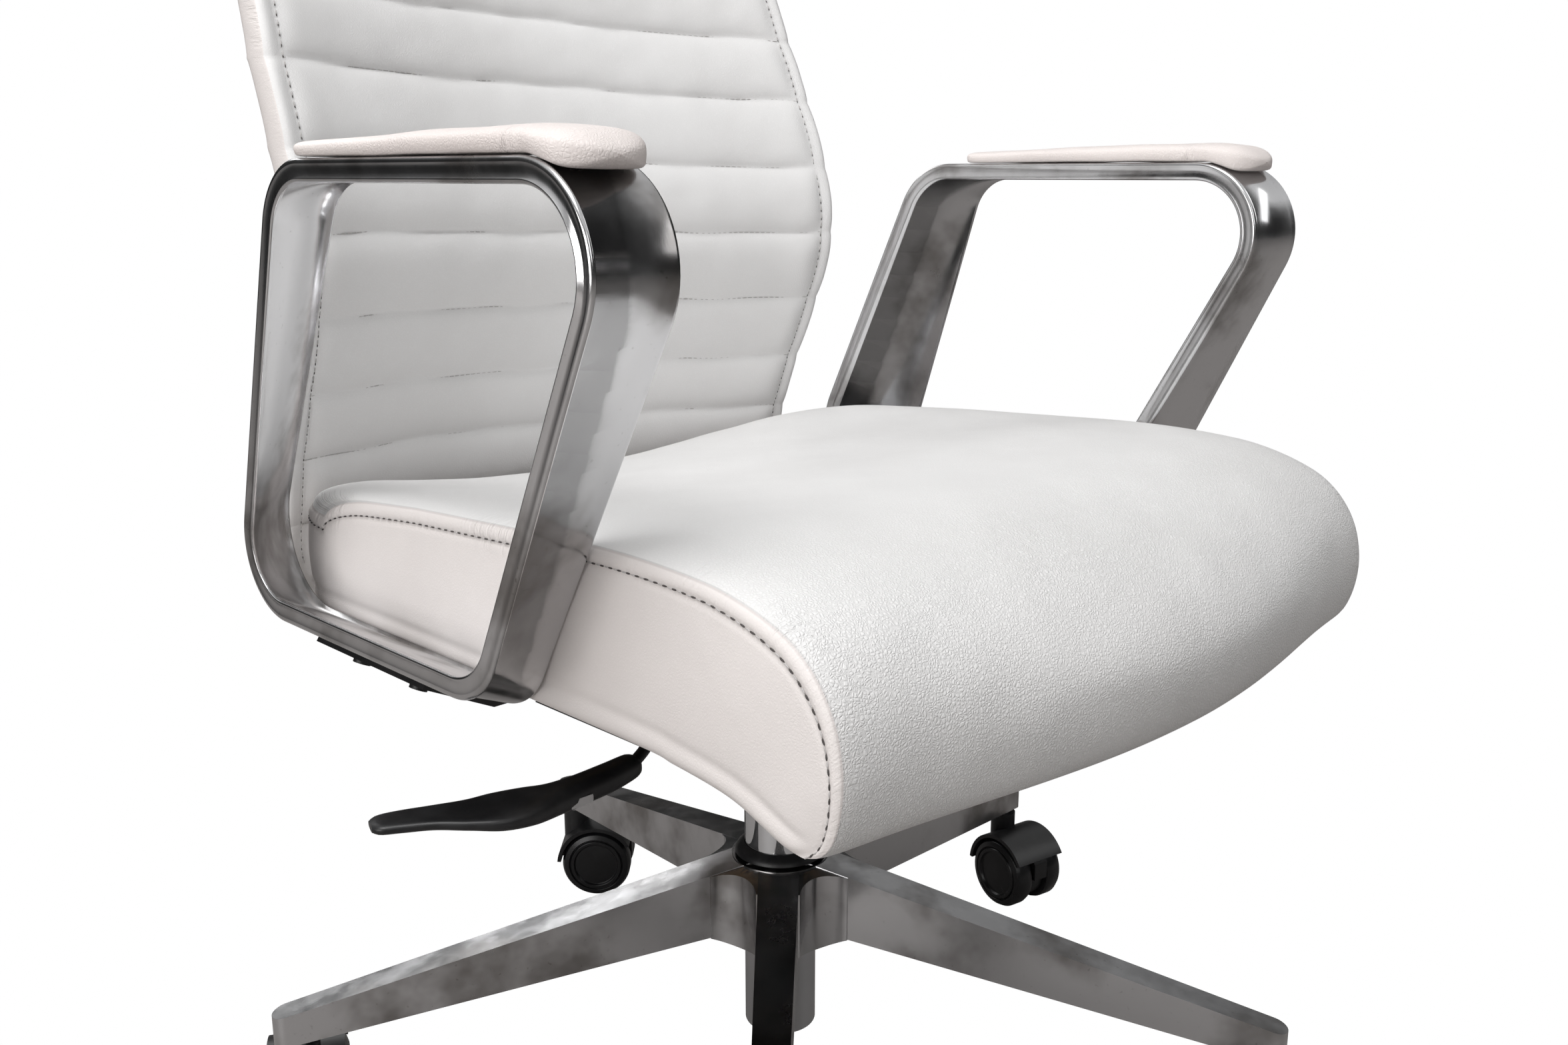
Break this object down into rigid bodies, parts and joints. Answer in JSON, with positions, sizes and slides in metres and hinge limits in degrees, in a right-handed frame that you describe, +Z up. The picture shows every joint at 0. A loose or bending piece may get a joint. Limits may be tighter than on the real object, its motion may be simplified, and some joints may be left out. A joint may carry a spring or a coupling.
{
  "type": "swivel office chair",
  "caption": "Swivel office chair: channel-stitched leather back and seat, loop arms, tilt mechanism, gas lift, and a star base on twin-wheel casters.",
  "frame": {"origin": "on the floor, on the gas lift's axis", "axes": "+Z up, the chair faces -Y, +X is to the sitter's left"},
  "size_m": [0.6725, 0.716, 1.071],
  "materials": {
    "polished_alloy": "polished, with soft cloudy reflections",
    "chromed_steel": "mirror chrome",
    "bright_steel": "zinc plated",
    "black_steel": "satin black powder coat",
    "black_plastic": "moulded, satin",
    "black_nylon": "moulded, semi-gloss",
    "white_leather": "pebbled, stitched in thread of the same colour",
    "plywood": "raw beech plywood",
    "black_cloth": "non-woven dust cover"
  },
  "bodies": {
    "base": {"star_base": "polished_alloy", "column_collar": "black_plastic", "column_tube": "chromed_steel", "column_bushing": "black_plastic", "thrust_bearing": "bright_steel"},
    "lift_rod": {"piston_rod": "bright_steel", "column_clip": "bright_steel"},
    "control": {"pressure_tube": "chromed_steel", "tilt_housing": "black_steel", "tilt_pin": "bright_steel", "tension_spring": "bright_steel"},
    "seat": {"seat_plate": "black_steel", "seat_board": "plywood", "seat_cushion": "white_leather", "dust_cover": "black_cloth", "seat_bolts": "bright_steel", "tension_bolt": "bright_steel", "back_bracket": "black_steel", "back_bolts": "bright_steel", "back_shell": "plywood", "back_cushion": "white_leather", "back_cover": "white_leather", "left_arm": "polished_alloy", "right_arm": "polished_alloy", "left_arm_pad": "white_leather", "right_arm_pad": "white_leather", "left_arm_bracket": "black_steel", "right_arm_bracket": "black_steel", "arm_bolts": "black_steel"},
    "knob": {"tension_knob": "black_plastic"},
    "slider": {"lock_slider": "black_plastic"},
    "lever": {"lever_rod": "black_steel", "lever_handle": "black_plastic"},
    "button": {"release_button": "black_plastic"},
    "caster_1": {"caster_1_stem": "bright_steel", "caster_1_hood": "black_plastic", "caster_1_axle": "bright_steel"},
    "caster_1_wheel_a": {"caster_1_wheel_a": "black_nylon"},
    "caster_1_wheel_b": {"caster_1_wheel_b": "black_nylon"},
    "caster_2": {"caster_2_stem": "bright_steel", "caster_2_hood": "black_plastic", "caster_2_axle": "bright_steel"},
    "caster_2_wheel_a": {"caster_2_wheel_a": "black_nylon"},
    "caster_2_wheel_b": {"caster_2_wheel_b": "black_nylon"},
    "caster_3": {"caster_3_stem": "bright_steel", "caster_3_hood": "black_plastic", "caster_3_axle": "bright_steel"},
    "caster_3_wheel_a": {"caster_3_wheel_a": "black_nylon"},
    "caster_3_wheel_b": {"caster_3_wheel_b": "black_nylon"},
    "caster_4": {"caster_4_stem": "bright_steel", "caster_4_hood": "black_plastic", "caster_4_axle": "bright_steel"},
    "caster_4_wheel_a": {"caster_4_wheel_a": "black_nylon"},
    "caster_4_wheel_b": {"caster_4_wheel_b": "black_nylon"},
    "caster_5": {"caster_5_stem": "bright_steel", "caster_5_hood": "black_plastic", "caster_5_axle": "bright_steel"},
    "caster_5_wheel_a": {"caster_5_wheel_a": "black_nylon"},
    "caster_5_wheel_b": {"caster_5_wheel_b": "black_nylon"}
  },
  "joints": [
    {"name": "seat_swivel", "type": "hinge", "parent": "base", "child": "lift_rod", "pos_m": [0, 0, 0.05], "axis": [0, 0, 1], "continuous": true},
    {"name": "seat_lift", "type": "slide", "parent": "lift_rod", "child": "control", "axis": [0, 0, 1], "range_m": [0, 0.09]},
    {"name": "seat_tilt", "type": "hinge", "parent": "control", "child": "seat", "pos_m": [0, -0.06, 0.325], "axis": [-1, 0, 0], "range_deg": [0, 12], "stiffness_Nm_per_rad": 120, "springref_deg": -20.05, "deforming": ["tension_spring"]},
    {"name": "tension_turn", "type": "hinge", "parent": "seat", "child": "knob", "pos_m": [0, -0.092, 0.248], "axis": [0, 0, 1], "range_deg": [-720, 720]},
    {"name": "tilt_lock", "type": "slide", "parent": "control", "child": "slider", "axis": [-1, 0, 0], "range_m": [0, 0.008]},
    {"name": "lift_lever", "type": "hinge", "parent": "slider", "child": "lever", "pos_m": [-0.036, 0, 0.3223], "axis": [0, 1, 0], "range_deg": [0, 7], "stiffness_Nm_per_rad": 2, "springref_deg": -14.32},
    {"name": "release_press", "type": "slide", "parent": "control", "child": "button", "axis": [0, 0, -1], "range_m": [0, 0.0055], "stiffness_N_per_m": 200},
    {"name": "caster_1_swivel", "type": "hinge", "parent": "base", "child": "caster_1", "pos_m": [-0.23575, -0.22371, 0.07], "axis": [0, 0, 1], "continuous": true},
    {"name": "caster_1_wheel_a_roll", "type": "hinge", "parent": "caster_1", "child": "caster_1_wheel_a", "pos_m": [-0.25307, -0.23372, 0.03], "axis": [0.5, -0.866, 0], "continuous": true},
    {"name": "caster_1_wheel_b_roll", "type": "hinge", "parent": "caster_1", "child": "caster_1_wheel_b", "pos_m": [-0.25307, -0.23372, 0.03], "axis": [0.5, -0.866, 0], "continuous": true},
    {"name": "caster_2_swivel", "type": "hinge", "parent": "base", "child": "caster_2", "pos_m": [0.13992, -0.29334, 0.07], "axis": [0, 0, 1], "continuous": true},
    {"name": "caster_2_wheel_a_roll", "type": "hinge", "parent": "caster_2", "child": "caster_2_wheel_a", "pos_m": [0.1206, -0.28816, 0.03], "axis": [-0.2588, -0.9659, 0], "continuous": true},
    {"name": "caster_2_wheel_b_roll", "type": "hinge", "parent": "caster_2", "child": "caster_2_wheel_b", "pos_m": [0.1206, -0.28816, 0.03], "axis": [-0.2588, -0.9659, 0], "continuous": true},
    {"name": "caster_3_swivel", "type": "hinge", "parent": "base", "child": "caster_3", "pos_m": [0.32222, 0.04242, 0.07], "axis": [0, 0, 1], "continuous": true},
    {"name": "caster_3_wheel_a_roll", "type": "hinge", "parent": "caster_3", "child": "caster_3_wheel_a", "pos_m": [0.3184, 0.02279, 0.03], "axis": [0.9816, -0.1908, 0], "continuous": true},
    {"name": "caster_3_wheel_b_roll", "type": "hinge", "parent": "caster_3", "child": "caster_3_wheel_b", "pos_m": [0.3184, 0.02279, 0.03], "axis": [0.9816, -0.1908, 0], "continuous": true},
    {"name": "caster_4_swivel", "type": "hinge", "parent": "base", "child": "caster_4", "pos_m": [0.05923, 0.31956, 0.07], "axis": [0, 0, 1], "continuous": true},
    {"name": "caster_4_wheel_a_roll", "type": "hinge", "parent": "caster_4", "child": "caster_4_wheel_a", "pos_m": [0.07337, 0.30542, 0.03], "axis": [0.7071, 0.7071, 0], "continuous": true},
    {"name": "caster_4_wheel_b_roll", "type": "hinge", "parent": "caster_4", "child": "caster_4_wheel_b", "pos_m": [0.07337, 0.30542, 0.03], "axis": [0.7071, 0.7071, 0], "continuous": true},
    {"name": "caster_5_swivel", "type": "hinge", "parent": "base", "child": "caster_5", "pos_m": [-0.28562, 0.15508, 0.07], "axis": [0, 0, 1], "continuous": true},
    {"name": "caster_5_wheel_a_roll", "type": "hinge", "parent": "caster_5", "child": "caster_5_wheel_a", "pos_m": [-0.27562, 0.1724, 0.03], "axis": [-0.866, 0.5, 0], "continuous": true},
    {"name": "caster_5_wheel_b_roll", "type": "hinge", "parent": "caster_5", "child": "caster_5_wheel_b", "pos_m": [-0.27562, 0.1724, 0.03], "axis": [-0.866, 0.5, 0], "continuous": true}
  ],
  "couplings": [
    {"joint": "release_press", "follows": "lift_lever", "m_per_rad": 0.04}
  ]
}
